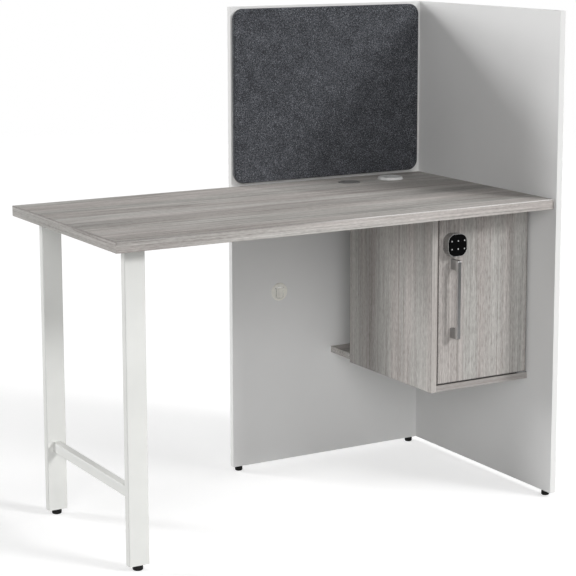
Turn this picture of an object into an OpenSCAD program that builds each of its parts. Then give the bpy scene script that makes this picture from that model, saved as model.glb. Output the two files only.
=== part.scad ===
// Cubicle workstation: a desktop on a tube leg frame at the left, carried at the right by
// two tall panels that meet in a corner, with a lockable cabinet below and a felt
// tackboard above. Millimetres, X along the desk, Y to the back, Z up. The origin is on
// the floor, under the middle of the bounding box.

/* [Desktop] */
// Width of the desktop, left to right
desk_w = 1180; // [1000:10:1600]
// Depth of the desktop, front to back
desk_d = 590; // [560:5:720]
// Thickness of the desktop
desk_t = 25; // [22:0.5:32]
// Height of the desktop's upper face above the floor
desk_h = 760; // [700:5:800]
// Gap between the desktop and the panels
desk_gap = 1; // [0.5:0.5:3]
// Thickness of the desktop's edge band
desk_band_t = 2; // [1:0.5:3]

/* [Panels] */
// Height of the panels above the floor
panel_h = 1220; // [1150:10:1600]
// Thickness of both panels
panel_t = 16; // [16:1:22]
// Width of the back panel
back_w = 580; // [480:10:900]
// Reach of the side panel in front of the back panel
side_d = 600; // [570:5:760]
// Thickness of the edge bands on the panels, the cabinet and the door
band_t = 1; // [0.6:0.1:2]
// Radius on the outer edges of all bands
arris_r = 0.5; // [0.2:0.1:0.6]

/* [Feet] */
// Height of the glides, from the floor to what they carry
glide_h = 12; // [10:1:20]
// Diameter of the glides under the panels
panel_glide_d = 20; // [16:1:24]
// Diameter of the glides under the legs
leg_glide_d = 24; // [20:1:28]
// Distance of the panel glides from the panels' ends
glide_inset = 20; // [15:1:60]
// Distance of the side panel's glide from its front edge
side_glide_inset = 30; // [15:1:60]

/* [Leg frame] */
// Width of the leg tubes, along the desk
leg_w = 50; // [40:1:60]
// Depth of the leg tubes, front to back
leg_d = 20; // [20:1:40]
// Wall of the leg tubes and the crossbar
tube_wall = 1.5; // [1:0.1:3]
// Outer corner radius of the tubes
tube_r = 3; // [2:0.5:4]
// Distance of the legs from the desktop's left end
leg_side_inset = 40; // [10:5:120]
// Distance of the front leg from the desktop's front edge
leg_front_inset = 45; // [10:5:120]
// Distance of the back leg from the desktop's back edge
leg_back_inset = 66; // [10:1:120]
// Width of the crossbar
bar_w = 20; // [12:1:30]
// Height of the crossbar
bar_h = 25; // [15:1:40]
// Height of the crossbar's underside above the floor
bar_z = 160; // [80:5:400]

/* [Cabinet] */
// Distance from the side panel to the outside of the cabinet's side
cab_w = 295; // [260:5:400]
// Height of the cabinet's side below the desktop
cab_h = 448; // [380:1:520]
// Depth of the cabinet's side
cab_side_d = 375; // [300:5:400]
// Distance of the door from the desktop's front edge
cab_inset = 95; // [60:5:110]
// Thickness of the cabinet boards and the door
board_t = 16; // [16:1:20]
// Gap round the door
door_gap = 3; // [2:0.5:4]
// Gap between the door and the side panel, on the hinge side
hinge_gap = 6; // [4:0.5:10]

/* [Tackboard] */
// Width of the tackboard
tack_w = 564; // [400:2:700]
// Height of the tackboard
tack_h = 447; // [300:1:480]
// Thickness of the tackboard
tack_t = 12; // [9:1:20]
// Corner radius of the tackboard
tack_r = 28; // [5:1:60]
// Gap behind the tackboard, where its clips are
tack_gap = 4; // [4:0.5:6]
// Distance of the tackboard from the side panel
tack_side = 14; // [5:1:30]
// Distance of the tackboard above the desktop
tack_rise = 8; // [2:1:20]

/* [Handle and lock] */
// Length of the handle
handle_l = 196; // [140:2:260]
// Width of the handle's bar
handle_w = 9; // [8:1:14]
// How far the handle stands out from the door
handle_out = 32; // [24:1:45]
// Thickness of the handle's bar
handle_t = 7; // [5:0.5:10]
// Height of the handle's two legs where they meet the door
handle_leg = 24; // [18:1:30]
// Distance of the handle's line from the door's free edge
handle_in = 40; // [35:0.5:80]
// Height of the handle's lower end above the door's lower edge
handle_rise = 115; // [40:5:160]
// Width of the lock's housing
lock_w = 55; // [50:1:64]
// Height of the lock's housing
lock_h = 56; // [52:1:70]
// How far the lock stands out from the door
lock_out = 24; // [16:1:30]
// Height of the lock's middle below the door's upper edge
lock_drop = 76.5; // [50:0.5:120]

/* [Grommets] */
// Outer diameter of the raised desktop grommet
raised_d = 68; // [60:1:80]
// How far the raised grommet stands above the desktop
raised_h = 6.5; // [5.5:0.5:12]
// Distance of the raised grommet's middle from the side panel
raised_side = 148; // [100:1:200]
// Outer diameter of the flat desktop grommet
flat_d = 58; // [50:1:66]
// Distance of the flat grommet's middle from the side panel
flat_side = 276; // [240:1:320]
// Distance of both grommets' middles from the back panel
grommet_back = 85; // [60:1:100]
// Outer diameter of the back panel's cable outlet
outlet_d = 48; // [40:1:60]
// Distance of the outlet's middle from the back panel's free end
outlet_in = 141; // [60:1:200]
// Height of the outlet's middle above the floor
outlet_z = 470; // [200:5:600]

/* [Hidden] */
$fn = 48;

// Overrun of every cut
over = 1;
// Clearance between a seat and a piece that moves
seat = 0.3;
// Radial running clearance of pins and studs
running = 0.05;

// Overall places; the glides stand out a little beyond the panels that they carry
glide_over = max(0, (panel_glide_d - panel_t)/2);
overall_w = desk_w + desk_gap + panel_t + glide_over;
overall_d = side_d + panel_t + glide_over;
side_x = overall_w/2 - panel_t - glide_over;
back_y = overall_d/2 - panel_t - glide_over;
rear_y = back_y + panel_t;
back_x = side_x - back_w;
side_y = back_y - side_d;
under = desk_h - desk_t;
desk_x1 = side_x - desk_gap;
desk_x0 = desk_x1 - desk_w;
desk_y1 = back_y - desk_gap;
desk_y0 = desk_y1 - desk_d;

// Leg frame places
leg_x = desk_x0 + leg_side_inset;
leg_mid = leg_x + leg_w/2;
front_leg_y = desk_y0 + leg_front_inset;
back_leg_y = desk_y1 - leg_back_inset - leg_d;
top_plate_t = 5;
top_plate_y0 = front_leg_y;
top_plate_y1 = back_leg_y + leg_d;
plug_h = 28;
leg_top = under - top_plate_t;
// Screws along the top plate, as shares of its length
plate_screw_shares = [0.12, 0.37, 0.63, 0.88];

// Cabinet and door places
cab_x = side_x - cab_w;
cab_in_x = cab_x + board_t;
cab_y = desk_y0 + cab_inset;
cab_z = under - cab_h;
cab_side_y1 = cab_y + cab_side_d;
bottom_step = 1;
band_joint = 0.1;
bottom_z = cab_z + bottom_step;
bottom_top = bottom_z + board_t;
door_x0 = cab_in_x + door_gap;
door_x1 = side_x - hinge_gap;
door_z0 = bottom_top + door_gap;
door_z1 = under - door_gap;
door_y1 = cab_y + board_t;

// Pivot hinge: the pin's line is in the middle of the door's thickness
pivot_in = 10;
pivot_x = door_x1 - pivot_in;
pivot_y = cab_y + board_t/2;
pin_r = 3;
pin_l = 12;
bush_wall = 2;
bush_r = pin_r + bush_wall;
bush_l = 16;
pivot_plate_t = 2;
pivot_plate_side = 12;
pivot_plate_back = 28;
washer_r = 5;
pivot_hole_steps = [17, 24];

// Wood screws
screw_r = 2;
screw_l = 12;
screw_head_r = 3.5;
screw_head_h = 2;

// Corner brackets under the desktop
bracket_l = 25;
bracket_w = 36;
bracket_t = 2.5;
bracket_hole_share = 0.6;
bracket_pitch = 20;
bracket_end = 60;

// Cam fittings
cam_r = 7.5;
cam_skin = 3.5;
cam_reach = 34;
cam_slot_w = 1.5;
cam_slot_h = 1;
bolt_r = 2.5;
bolt_head_r = 3.5;
bolt_head_l = 3;
bolt_bore_r = 4;
bolt_grip = 11;
dowel_r = 4;
dowel_half = 15;
dowel_step = 32;
// Places of the dowels on the cabinet's back board, as shares of its sides
dowel_shares = [0.2, 0.8];
// Heights of the corner's fittings, as shares of the panels' height
cam_height_shares = [0.12, 0.5, 0.9];
// Places of the cabinet's fittings, as shares of its bottom's depth
cab_cam_shares = [0.12, 0.58];

// Glides
stud_r = 3;
leg_stud_r = 4;
stud_l = 24;
pad_round = 3;
pad_neck = 2;
insert_r = 5;
insert_l = 30;

// Tackboard clips, hooked into each other: sizes of their bent sheet
clip_w = 40;
clip_t = 1.2;
clip_base = 14;
clip_hook = 8;
clip_slack = 0.1;
clip_jog = 2.6;
clip_screw_pitch = 22;
clip_screw_r = 1.6;
clip_screw_l = 8;
clip_head_r = 3;
clip_head_h = 1.2;
// Middles of the clips, as shares of the tackboard's width and height
clip_x_shares = [0.15, 0.85];
clip_z_shares = [0.16, 0.84];
tack_x1 = side_x - tack_side;
tack_x0 = tack_x1 - tack_w;
tack_z0 = desk_h + tack_rise;
tack_y1 = back_y - tack_gap;
tack_edge = 1.5;

// Handle and lock places
line_x = door_x0 + handle_in;
handle_z0 = door_z0 + handle_rise;
handle_z1 = handle_z0 + handle_l;
handle_inner_r = 9;
handle_outer_r = 4;
handle_screw_r = 2;
handle_screw_in = 14;
handle_head_r = 4;
handle_head_h = 2.5;
lock_x = line_x;
lock_z = door_z1 - lock_drop;
lock_r = 20;
lock_wall = 2.5;
lock_post_r = 2;
lock_post_x = 16;
lock_post_z = 18;
lock_face_t = 4;
lock_rim = 1;
lock_face_y = cab_y - lock_out;
lock_back_step = 1.5;
barrel_r = 9.5;
barrel_out = 8;
spindle_r = 4;
spindle_hub_r = 6.5;
nut_af = 25;
nut_t = 5;
key_r = 2.6;
key_out = 1;
key_travel = 0.8;
key_flange_r = 3.6;
key_flange_t = 0.8;
key_slack = 0.1;
key_pitch_x = 18.5;
key_pitch_z = 20;
key_lift = 1;
board_pcb_t = 1.6;
pcb_margin = 1;
battery_r = 11.5;
battery_t = 5;
battery_lift = 13;
motor_r = 8;
motor_l = 6.5;
motor_socket = 4;

// Lock cam and its keeper
cam_w = 16;
cam_t = 3;
cam_l = 46;
cam_back = 11;
cam_y = door_y1 + cam_back;
cam_screw_head_r = 5;
cam_screw_head_h = 2.5;
cam_screw_r = 2.5;
cam_screw_l = 8;
keeper_t = 2;
keeper_out = 17;
keeper_h = 36;
keeper_back = 30;
keeper_step = 7;
keeper_y = door_y1 + keeper_step;
stop_r = 4;
stop_block = 14;
stop_block_h = 18;

// Grommets
liner_wall = 2;
liner_lip = 4;
raised_tube_r = raised_d/2 - liner_lip;
flat_tube_r = flat_d/2 - liner_lip;
raised_flange_h = 2;
flat_flange_h = 1.6;
tube_depth = 20;
cap_skirt = 6;
cap_skin = 2;
grip_right = 11;
grip_behind = 5;
grip_r = 2.2;
grip_h = 1.6;
notch_r = 6;
outlet_lip = 4;
outlet_tube_r = outlet_d/2 - outlet_lip;
outlet_plate_t = 2.5;
outlet_skin = 2;
outlet_x = back_x + outlet_in;
flap_w = 20;
flap_top = 11;
flap_t = 2;
flap_pin_r = 0.6;
flap_pin_l = 2.4;
flap_gap = 1.2;

// Colours
white_board = [0.86, 0.86, 0.86];
white_edge = [0.93, 0.93, 0.93];
white_metal = [0.9, 0.9, 0.88];
grey_wood = [0.62, 0.6, 0.58];
grey_edge = [0.68, 0.66, 0.64];
zinc = [0.72, 0.73, 0.75];
charcoal = [0.28, 0.28, 0.31];
black = [0.06, 0.06, 0.06];
satin = [0.6, 0.6, 0.6];
cream = [0.88, 0.86, 0.8];
birch = [0.8, 0.68, 0.5];
brass = [0.75, 0.62, 0.35];
pcb_green = [0.12, 0.35, 0.2];

// A box between two corners
module block(lo, hi) {
    translate(lo)
        cube(hi - lo);
}

// A rectangle with round corners, centred
module rounded_square(w, h, r) {
    square([w - 2*r, h], center = true);
    square([w, h - 2*r], center = true);
    for (x = [-1, 1])
        for (y = [-1, 1])
            translate([x*(w/2 - r), y*(h/2 - r)])
                circle(r);
}

// A box between two corners with all its edges rounded
module soft_block(lo, hi, r) {
    s = hi - lo;
    translate((lo + hi)/2)
        intersection() {
            linear_extrude(s.z, center = true)
                rounded_square(s.x, s.y, r);
            rotate([90, 0, 0])
                linear_extrude(s.y, center = true)
                    rounded_square(s.x, s.z, r);
            rotate([90, 0, 90])
                linear_extrude(s.x, center = true)
                    rounded_square(s.y, s.z, r);
        }
}

// Edge band: a softened board less its core, open where the flags say 1
module edge_band(lo, hi, core_lo, core_hi, open_lo, open_hi) {
    difference() {
        soft_block(lo, hi, arris_r);
        block(core_lo - over*open_lo, core_hi + over*open_hi);
    }
}

// A ring or tube, standing on its base
module ring(r_out, r_in, h) {
    difference() {
        cylinder(h, r_out, r_out);
        translate([0, 0, -over])
            cylinder(h + 2*over, r_in, r_in);
    }
}

// A pan-head screw that points along +Z, its head's seat at the origin
module screw(r, l, head_r, head_h) {
    cylinder(l, r, r);
    translate([0, 0, -head_h])
        cylinder(head_h, head_r, head_r);
}

// The hole that such a screw fills
module screw_hole(r, l) {
    translate([0, 0, -over])
        cylinder(l + over, r, r);
}

// One corner bracket: wall at local y = 0, desktop at local z = 0
module bracket() {
    difference() {
        union() {
            translate([-bracket_w/2, -bracket_l, -bracket_t])
                cube([bracket_w, bracket_l, bracket_t]);
            translate([-bracket_w/2, -bracket_t, -bracket_l])
                cube([bracket_w, bracket_t, bracket_l]);
        }
        bracket_holes(bracket_t + 2*over);
    }
}

// The four screw lines of a bracket, as holes of a given length from its inner faces
module bracket_holes(l) {
    for (x = [-bracket_pitch/2, bracket_pitch/2]) {
        translate([x, -bracket_l*bracket_hole_share, -bracket_t])
            screw_hole(screw_r, l);
        translate([x, -bracket_t, -bracket_l*bracket_hole_share])
            rotate([-90, 0, 0])
                screw_hole(screw_r, l);
    }
}

// The four screws of a bracket
module bracket_fixings() {
    for (x = [-bracket_pitch/2, bracket_pitch/2]) {
        translate([x, -bracket_l*bracket_hole_share, -bracket_t])
            screw(screw_r, screw_l, screw_head_r, screw_head_h);
        translate([x, -bracket_t, -bracket_l*bracket_hole_share])
            rotate([-90, 0, 0])
                screw(screw_r, screw_l, screw_head_r, screw_head_h);
    }
}

// Places of the brackets: two on the back panel, two on the side panel inside the
// cabinet and two on the cabinet's side
module at_brackets() {
    for (x = [back_x + bracket_end, cab_x - bracket_end])
        translate([x, back_y, under])
            children();
    for (s = cab_bracket_shares) {
        translate([side_x, cab_y + s*cab_side_d, under])
            rotate([0, 0, -90])
                children();
        translate([cab_in_x, cab_y + s*cab_side_d, under])
            rotate([0, 0, 90])
                children();
    }
}
// Places of the cabinet's brackets, as shares of its side's depth
cab_bracket_shares = [0.35, 0.82];

// A cam fitting in local axes: the cam's board lies at negative x with its middle plane at
// z = 0, the bolt's board begins at x = 0, and the cam goes in from positive z
module cam_pocket(t) {
    translate([-cam_reach, 0, cam_skin - t/2])
        cylinder(t - cam_skin + over, cam_r, cam_r);
    translate([-cam_reach, 0, 0])
        rotate([0, 90, 0])
            cylinder(cam_reach + over, bolt_bore_r, bolt_bore_r);
}

// The blind hole for the bolt's thread
module bolt_hole() {
    translate([-over, 0, 0])
        rotate([0, 90, 0])
            cylinder(bolt_grip + over, bolt_r + running, bolt_r + running);
}

// The cam itself, with its screwdriver slot and the bore for the bolt's head
module cam_disc(t) {
    difference() {
        translate([-cam_reach, 0, cam_skin - t/2])
            cylinder(t - cam_skin, cam_r, cam_r);
        translate([-cam_reach - bolt_head_l, 0, 0])
            rotate([0, 90, 0])
                cylinder(cam_r + bolt_head_l + over, bolt_bore_r, bolt_bore_r);
        translate([-cam_reach, 0, t/2])
            cube([2*cam_r, cam_slot_w, 2*cam_slot_h], center = true);
    }
}

// The bolt: thread in its board, shank in the bore, head inside the cam
module cam_bolt() {
    translate([-cam_reach, 0, 0])
        rotate([0, 90, 0])
            cylinder(cam_reach + bolt_grip, bolt_r, bolt_r);
    translate([-cam_reach, 0, 0])
        rotate([0, 90, 0])
            cylinder(bolt_head_l, bolt_head_r, bolt_head_r);
}

// The corner's fittings: the cams go in from the back panel's rear face
module at_corner_cams() {
    for (s = cam_height_shares)
        translate([side_x, back_y + panel_t/2, s*panel_h])
            rotate([-90, 0, 0])
                children();
}

// The corner's dowels, one beside each cam; extra is the free end of their holes
module corner_dowels(extra) {
    for (s = cam_height_shares)
        translate([side_x - dowel_half - extra, back_y + panel_t/2, s*panel_h - dowel_step])
            rotate([0, 90, 0])
                cylinder(dowel_half + extra + bolt_grip, dowel_r, dowel_r);
}

// The dowels of the cabinet's back board: two down into the bottom, two in each side
module back_board_dowels(extra) {
    w = side_x - cab_in_x;
    h = under - bottom_top;
    y = cab_side_y1 - board_t/2;
    for (s = dowel_shares) {
        translate([cab_in_x + s*w, y, bottom_top - bolt_grip])
            cylinder(bolt_grip + dowel_half + extra, dowel_r, dowel_r);
        translate([cab_in_x - bolt_grip, y, bottom_top + s*h])
            rotate([0, 90, 0])
                cylinder(bolt_grip + dowel_half + extra, dowel_r, dowel_r);
        translate([side_x - dowel_half - extra, y, bottom_top + s*h])
            rotate([0, 90, 0])
                cylinder(bolt_grip + dowel_half + extra, dowel_r, dowel_r);
    }
}

// The cabinet's fittings: the cams go in from under its bottom
module at_cabinet_cams(right) {
    for (s = cab_cam_shares) {
        y = cab_y + s*(back_y - cab_y);
        if (right)
            translate([side_x, y, bottom_z + board_t/2])
                rotate([180, 0, 0])
                    children();
        else
            translate([cab_in_x, y, bottom_z + board_t/2])
                rotate([180, 0, 180])
                    children();
    }
}

// Places of the glides
module at_panel_glides() {
    for (x = [back_x + glide_inset, side_x - glide_inset])
        translate([x, back_y + panel_t/2, 0])
            children();
    translate([side_x + panel_t/2, side_y + side_glide_inset, 0])
        children();
}

// The holes for the threaded inserts, through the band into the core
module insert_holes() {
    at_panel_glides()
        translate([0, 0, glide_h - over])
            cylinder(insert_l + over, insert_r + running, insert_r + running);
}

// Middles of the tackboard's clips, on the face that carries them
module at_clips(y) {
    for (sx = clip_x_shares)
        for (sz = clip_z_shares)
            translate([tack_x0 + sx*tack_w, y, tack_z0 + sz*tack_h])
                children();
}

// The wall clips' screw holes in the back panel
module wall_clip_holes() {
    at_clips(back_y)
        for (x = [-clip_screw_pitch/2, clip_screw_pitch/2])
            translate([x, 0, -clip_base/2])
                rotate([-90, 0, 0])
                    screw_hole(clip_screw_r, clip_screw_l);
}

module back_panel() {
    color(white_board)
        difference() {
            block([back_x + band_t, back_y, glide_h + band_t],
                [side_x, rear_y, panel_h - band_t]);
            at_corner_cams()
                cam_pocket(panel_t);
            corner_dowels(over);
            insert_holes();
            wall_clip_holes();
            translate([outlet_x, back_y - over, outlet_z])
                rotate([-90, 0, 0])
                    cylinder(panel_t + 2*over, outlet_tube_r, outlet_tube_r);
            at_brackets()
                bracket_holes(screw_l);
        }
}

module back_panel_band() {
    color(white_edge)
        difference() {
            edge_band([back_x, back_y, glide_h], [side_x, rear_y, panel_h],
                [back_x + band_t, back_y, glide_h + band_t],
                [side_x, rear_y, panel_h - band_t], [0, 1, 0], [1, 1, 0]);
            insert_holes();
        }
}

module side_panel() {
    color(white_board)
        difference() {
            block([side_x, side_y + band_t, glide_h + band_t],
                [side_x + panel_t, rear_y - band_t, panel_h - band_t]);
            at_corner_cams()
                bolt_hole();
            corner_dowels(0);
            back_board_dowels(0);
            at_cabinet_cams(true)
                bolt_hole();
            insert_holes();
            at_brackets()
                bracket_holes(screw_l);
        }
}

module side_panel_band() {
    color(white_edge)
        difference() {
            edge_band([side_x, side_y, glide_h], [side_x + panel_t, rear_y, panel_h],
                [side_x, side_y + band_t, glide_h + band_t],
                [side_x + panel_t, rear_y - band_t, panel_h - band_t], [1, 0, 0], [1, 0, 0]);
            insert_holes();
        }
}

module dowels() {
    color(birch) {
        corner_dowels(0);
        back_board_dowels(0);
    }
}

module cam_bolts() {
    color(zinc) {
        at_corner_cams()
            cam_bolt();
        at_cabinet_cams(true)
            cam_bolt();
        at_cabinet_cams(false)
            cam_bolt();
    }
}

module cam_discs() {
    color(zinc) {
        at_corner_cams()
            cam_disc(panel_t);
        at_cabinet_cams(true)
            cam_disc(board_t);
        at_cabinet_cams(false)
            cam_disc(board_t);
    }
}

module panel_glide_inserts() {
    color(brass)
        at_panel_glides()
            translate([0, 0, glide_h])
                ring(insert_r, stud_r + running, insert_l);
}

// Places of the two desktop grommets
module at_raised() {
    translate([side_x - raised_side, back_y - grommet_back, desk_h])
        children();
}

module at_flat() {
    translate([side_x - flat_side, back_y - grommet_back, desk_h])
        children();
}

// Places of the leg frame's screws under its top plate
module at_plate_screws() {
    for (s = plate_screw_shares)
        for (x = [-leg_w/4, leg_w/4])
            translate([leg_mid + x, top_plate_y0 + s*(top_plate_y1 - top_plate_y0), leg_top])
                children();
}

module desktop() {
    color(grey_wood)
        difference() {
            block([desk_x0 + desk_band_t, desk_y0 + desk_band_t, under],
                [desk_x1 - desk_band_t, desk_y1 - desk_band_t, desk_h]);
            at_raised()
                translate([0, 0, -desk_t - over])
                    cylinder(desk_t + 2*over, raised_tube_r, raised_tube_r);
            at_flat()
                translate([0, 0, -desk_t - over])
                    cylinder(desk_t + 2*over, flat_tube_r, flat_tube_r);
            at_plate_screws()
                screw_hole(screw_r, top_plate_t + screw_l);
            at_brackets()
                bracket_holes(screw_l);
            at_pivot_screws()
                screw_hole(clip_screw_r, pivot_plate_t + clip_screw_l);
        }
}

module desktop_band() {
    color(grey_edge)
        edge_band([desk_x0, desk_y0, under], [desk_x1, desk_y1, desk_h],
            [desk_x0 + desk_band_t, desk_y0 + desk_band_t, under],
            [desk_x1 - desk_band_t, desk_y1 - desk_band_t, desk_h], [0, 0, 1], [0, 0, 1]);
}

module corner_brackets() {
    color(zinc)
        at_brackets()
            bracket();
}

module desktop_screws() {
    color(zinc) {
        at_brackets()
            bracket_fixings();
        at_plate_screws()
            screw(screw_r, top_plate_t + screw_l, screw_head_r, screw_head_h);
    }
}

module leg_top_plate() {
    color(white_metal)
        difference() {
            block([leg_x, top_plate_y0, leg_top], [leg_x + leg_w, top_plate_y1, under]);
            at_plate_screws()
                screw_hole(screw_r + running, top_plate_t + over);
        }
}

// A leg tube from the glide to the top plate, its front face at y
module leg_tube(y) {
    translate([leg_mid, y + leg_d/2, glide_h])
        linear_extrude(leg_top - glide_h)
            difference() {
                rounded_square(leg_w, leg_d, tube_r);
                rounded_square(leg_w - 2*tube_wall, leg_d - 2*tube_wall, tube_r - tube_wall);
            }
}

module front_leg() {
    color(white_metal)
        leg_tube(front_leg_y);
}

module back_leg() {
    color(white_metal)
        leg_tube(back_leg_y);
}

module crossbar() {
    color(white_metal)
        translate([leg_mid, back_leg_y, bar_z + bar_h/2])
            rotate([90, 0, 0])
                linear_extrude(back_leg_y - front_leg_y - leg_d)
                    difference() {
                        rounded_square(bar_w, bar_h, tube_r - tube_wall/2);
                        rounded_square(bar_w - 2*tube_wall, bar_h - 2*tube_wall, tube_wall/2);
                    }
}

// Places of the two leg glides
module at_leg_glides() {
    for (y = [front_leg_y, back_leg_y])
        translate([leg_mid, y + leg_d/2, 0])
            children();
}

// Plastic plugs in the leg tubes' lower ends, bored for the glides' studs
module leg_plugs() {
    color(black)
        at_leg_glides()
            translate([0, 0, glide_h])
                difference() {
                    linear_extrude(plug_h)
                        rounded_square(leg_w - 2*tube_wall, leg_d - 2*tube_wall,
                            tube_r - tube_wall);
                    translate([0, 0, -over])
                        cylinder(plug_h + 2*over, leg_stud_r + running, leg_stud_r + running);
                }
}

module cabinet_side() {
    color(grey_wood)
        difference() {
            block([cab_x, cab_y + band_t, cab_z + band_t],
                [cab_in_x, cab_side_y1 - band_t, under]);
            at_cabinet_cams(false)
                bolt_hole();
            at_brackets()
                bracket_holes(screw_l);
            back_board_dowels(0);
            at_keeper_screws()
                screw_hole(clip_screw_r, keeper_t + clip_screw_l);
        }
}

module cabinet_bottom() {
    color(grey_wood)
        difference() {
            block([cab_in_x, cab_y + band_t, bottom_z], [side_x, back_y, bottom_top]);
            at_cabinet_cams(true)
                cam_pocket(board_t);
            at_cabinet_cams(false)
                cam_pocket(board_t);
            back_board_dowels(0);
            at_pivot_screws()
                screw_hole(clip_screw_r, pivot_plate_t + clip_screw_l);
        }
}

// The bands on the cabinet side's three free edges and on the bottom's front edge
module cabinet_bands() {
    color(grey_edge) {
        edge_band([cab_x, cab_y, cab_z], [cab_in_x, cab_side_y1, under],
            [cab_x, cab_y + band_t, cab_z + band_t], [cab_in_x, cab_side_y1 - band_t, under],
            [1, 0, 0], [1, 0, 1]);
        edge_band([cab_in_x + band_joint, cab_y, bottom_z], [side_x, back_y, bottom_top],
            [cab_in_x, cab_y + band_t, bottom_z], [side_x, back_y, bottom_top],
            [1, 0, 1], [1, 1, 1]);
    }
}

// The cabinet's back, between its side and the side panel, with a cable bay behind it
module cabinet_back() {
    color(grey_wood)
        difference() {
            block([cab_in_x, cab_side_y1 - board_t, bottom_top], [side_x, cab_side_y1, under]);
            back_board_dowels(over);
        }
}

// Places of the pivot plates: the lower one as it is, the upper one turned over
module at_pivots() {
    translate([pivot_x, pivot_y, bottom_top])
        children();
    translate([pivot_x, pivot_y, under])
        mirror([0, 0, 1])
            children();
}

// The pivot plates' screw lines, pointing into the boards that carry them
module at_pivot_screws() {
    at_pivots()
        for (y = pivot_hole_steps)
            translate([0, y, pivot_plate_t])
                mirror([0, 0, 1])
                    children();
}

module pivot_brackets() {
    color(zinc)
        at_pivots()
            difference() {
                union() {
                    block([-pivot_plate_side, -pin_r*2, 0],
                        [pivot_plate_side, pivot_plate_back, pivot_plate_t]);
                    cylinder(pivot_plate_t + pin_l, pin_r, pin_r);
                }
                for (y = pivot_hole_steps)
                    translate([0, y, -over])
                        cylinder(pivot_plate_t + 2*over, clip_screw_r, clip_screw_r);
            }
}

// The nylon washer that carries the door on the lower pivot
module pivot_washer() {
    color(white_edge)
        translate([pivot_x, pivot_y, bottom_top + pivot_plate_t])
            ring(washer_r, pin_r, door_gap - pivot_plate_t - seat);
}

// The keeper's screw lines, pointing into the cabinet's side
module at_keeper_screws() {
    for (z = [-keeper_h/4, keeper_h/4])
        translate([cab_in_x + keeper_t, keeper_y + keeper_back*2/3, lock_z + z])
            rotate([0, -90, 0])
                children();
}

// The angle plate that the lock's cam turns behind
module lock_keeper() {
    color(zinc)
        difference() {
            union() {
                block([cab_in_x, keeper_y, lock_z - keeper_h/2],
                    [cab_in_x + keeper_t, keeper_y + keeper_back, lock_z + keeper_h/2]);
                block([cab_in_x, keeper_y, lock_z - keeper_h/2],
                    [cab_in_x + keeper_out, keeper_y + keeper_t, lock_z + keeper_h/2]);
            }
            at_keeper_screws()
                screw_hole(clip_screw_r, keeper_t + over);
        }
}

// The small screws of the pivot plates and of the keeper
module fitting_screws() {
    color(zinc) {
        at_pivot_screws()
            screw(clip_screw_r, pivot_plate_t + clip_screw_l, clip_head_r, clip_head_h);
        at_keeper_screws()
            screw(clip_screw_r, keeper_t + clip_screw_l, clip_head_r, clip_head_h);
    }
}

// Rubber stops behind the door's free edge: one on the keeper, one on a block below
module door_stops() {
    color(black) {
        translate([cab_in_x + keeper_out/2 + stop_r/2, door_y1 + seat, lock_z])
            rotate([-90, 0, 0])
                cylinder(keeper_y - door_y1 - seat, stop_r, stop_r);
        block([cab_in_x, door_y1 + seat, bottom_top],
            [cab_in_x + stop_block, door_y1 + seat + stop_block, bottom_top + stop_block_h]);
    }
}

// The felt board: round corners and a softened rim
module tackboard() {
    color(charcoal)
        difference() {
            translate([tack_x0 + tack_w/2, tack_y1, tack_z0 + tack_h/2])
                rotate([90, 0, 0])
                    union() {
                        linear_extrude(tack_t - tack_edge)
                            rounded_square(tack_w, tack_h, tack_r);
                        linear_extrude(tack_t)
                            rounded_square(tack_w - 2*tack_edge, tack_h - 2*tack_edge,
                                tack_r - tack_edge);
                    }
            board_clip_lines()
                screw_hole(clip_screw_r, clip_t + clip_screw_l);
        }
}

// Places and direction of the board clips' screws, which point to the front
module board_clip_lines() {
    at_clips(tack_y1)
        for (x = [-clip_screw_pitch/2, clip_screw_pitch/2])
            translate([x, clip_t, clip_t + clip_hook + clip_slack + clip_base/2])
                rotate([90, 0, 0])
                    children();
}

module tackboard_clips() {
    color(zinc) {
        wall_clips();
        board_clips();
    }
}

// The lower half of each clip, on the panel: its hook points up
module wall_clips() {
    at_clips(back_y)
        difference() {
            rotate([90, 0, 90])
                linear_extrude(clip_w, center = true)
                    polygon([[0, -clip_base], [0, clip_t], [clip_t - clip_jog, clip_t],
                        [clip_t - clip_jog, clip_t + clip_hook],
                        [-clip_jog, clip_t + clip_hook], [-clip_jog, 0],
                        [-clip_t, 0], [-clip_t, -clip_base]]);
            for (x = [-clip_screw_pitch/2, clip_screw_pitch/2])
                translate([x, -clip_t, -clip_base/2])
                    rotate([-90, 0, 0])
                        screw_hole(clip_screw_r, clip_t + over);
        }
}

// The upper half, on the board: its hook hangs behind the wall clip's
module board_clips() {
    hook_y0 = clip_t - clip_jog + clip_slack;
    hook_z0 = clip_t + seat;
    base_z = clip_t + clip_hook + clip_slack;
    at_clips(back_y)
        difference() {
            rotate([90, 0, 90])
                linear_extrude(clip_w, center = true)
                    polygon([[-tack_gap, base_z + clip_base], [-tack_gap, base_z],
                        [hook_y0, base_z], [hook_y0, hook_z0],
                        [hook_y0 + clip_t, hook_z0], [hook_y0 + clip_t, base_z + clip_t],
                        [clip_t - tack_gap, base_z + clip_t],
                        [clip_t - tack_gap, base_z + clip_base]]);
            for (x = [-clip_screw_pitch/2, clip_screw_pitch/2])
                translate([x, clip_t - tack_gap, base_z + clip_base/2])
                    rotate([90, 0, 0])
                        screw_hole(clip_screw_r, clip_t + over);
        }
}

module tackboard_screws() {
    color(zinc) {
        at_clips(back_y)
            for (x = [-clip_screw_pitch/2, clip_screw_pitch/2])
                translate([x, -clip_t, -clip_base/2])
                    rotate([-90, 0, 0])
                        screw(clip_screw_r, clip_t + clip_screw_l, clip_head_r, clip_head_h);
        board_clip_lines()
            screw(clip_screw_r, clip_t + clip_screw_l, clip_head_r, clip_head_h);
    }
}

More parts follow.
